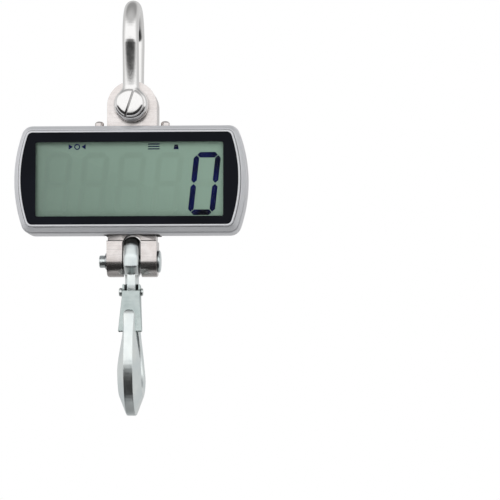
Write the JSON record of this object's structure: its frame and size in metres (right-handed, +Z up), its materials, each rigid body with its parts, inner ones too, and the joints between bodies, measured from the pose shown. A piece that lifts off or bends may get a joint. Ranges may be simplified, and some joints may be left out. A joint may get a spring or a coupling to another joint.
{
  "type": "crane scale",
  "caption": "Hanging crane scale: bow shackle, load cell through a wide display housing, and an eye hook with a sprung safety latch.",
  "frame": {"origin": "inside of the shackle's bow at its top, where the crane's hook carries the scale", "axes": "+X to the reader's right, +Y from the display to the rear, +Z up"},
  "size_m": [0.186, 0.0739, 0.3343],
  "materials": {
    "polished_steel": "polished",
    "nickel_steel": "satin nickel plate",
    "zinc_steel": "bright zinc plate over a forging",
    "latch_steel": "bright zinc plate on pressed sheet",
    "plain_steel": "satin",
    "silver_plastic": "silver paint on moulded plastic",
    "window_panel": "clear panel with a black printed border",
    "lcd_glass": "grey-green display glass",
    "white_plastic": "moulded",
    "black_plastic": "moulded",
    "black_rubber": "matt",
    "circuit_board": "solder mask",
    "battery_sleeve": "plain printed sleeve"
  },
  "bodies": {
    "shackle": {"shackle_bow": "polished_steel", "shackle_pin": "polished_steel"},
    "scale_body": {"load_cell": "nickel_steel", "gauge_cover_front": "plain_steel", "gauge_cover_rear": "plain_steel", "cell_lead": "black_rubber", "front_bezel": "silver_plastic", "rear_housing": "silver_plastic", "case_gasket": "black_rubber", "window_panel": "window_panel", "lcd_panel": "lcd_glass", "lcd_carrier": "white_plastic", "lcd_connector": "black_rubber", "main_board": "circuit_board", "receiver_module": "circuit_board", "antenna": "plain_steel", "buzzer": "black_plastic", "lead_plug": "white_plastic", "top_seal": "black_rubber", "bottom_seal": "black_rubber", "contact_middle": "nickel_steel", "battery_tray": "black_plastic", "door_gasket": "black_rubber", "button_seal": "black_rubber", "switch_board": "circuit_board", "hook_pin": "zinc_steel", "hook_pin_clip": "plain_steel", "case_screw_lower_left": "plain_steel", "board_screw_lower_left": "plain_steel", "case_screw_upper_left": "plain_steel", "board_screw_upper_left": "plain_steel", "case_screw_lower_right": "plain_steel", "board_screw_lower_right": "plain_steel", "case_screw_upper_right": "plain_steel", "board_screw_upper_right": "plain_steel", "bracket_left": "plain_steel", "bracket_bolt_left": "plain_steel", "top_screw_left": "nickel_steel", "top_nut_left": "plain_steel", "contact_left": "nickel_steel", "battery_lower_left": "battery_sleeve", "battery_upper_left": "battery_sleeve", "bracket_right": "plain_steel", "bracket_bolt_right": "plain_steel", "top_screw_right": "nickel_steel", "top_nut_right": "plain_steel", "contact_right": "nickel_steel", "battery_lower_right": "battery_sleeve", "battery_upper_right": "battery_sleeve"},
    "battery_door": {"battery_door": "silver_plastic", "door_screw_left": "plain_steel", "door_screw_right": "plain_steel"},
    "power_button": {"power_button": "black_plastic"},
    "hook": {"hook": "zinc_steel", "latch_rivet": "zinc_steel", "latch_spring": "plain_steel"},
    "latch": {"safety_latch": "latch_steel"}
  },
  "joints": [
    {"name": "scale_swing", "type": "hinge", "parent": "shackle", "child": "scale_body", "pos_m": [0, 0, -0.0739], "axis": [0, 1, 0], "range_deg": [-80, 80]},
    {"name": "hook_swing", "type": "hinge", "parent": "scale_body", "child": "hook", "pos_m": [0, 0, -0.198], "axis": [1, 0, 0], "range_deg": [-60, 60]},
    {"name": "latch_hinge", "type": "hinge", "parent": "hook", "child": "latch", "pos_m": [0, -0.00465, -0.22281], "axis": [1, 0, 0], "range_deg": [0, 43], "stiffness_Nm_per_rad": 0.02, "springref_deg": -28.65},
    {"name": "battery_door_lift", "type": "slide", "parent": "scale_body", "child": "battery_door", "axis": [0, 1, 0], "range_m": [0, 0.03]},
    {"name": "power_button_press", "type": "slide", "parent": "scale_body", "child": "power_button", "axis": [0, -1, 0], "range_m": [0, 0.0015], "stiffness_N_per_m": 600, "springref_m": -0.001}
  ]
}
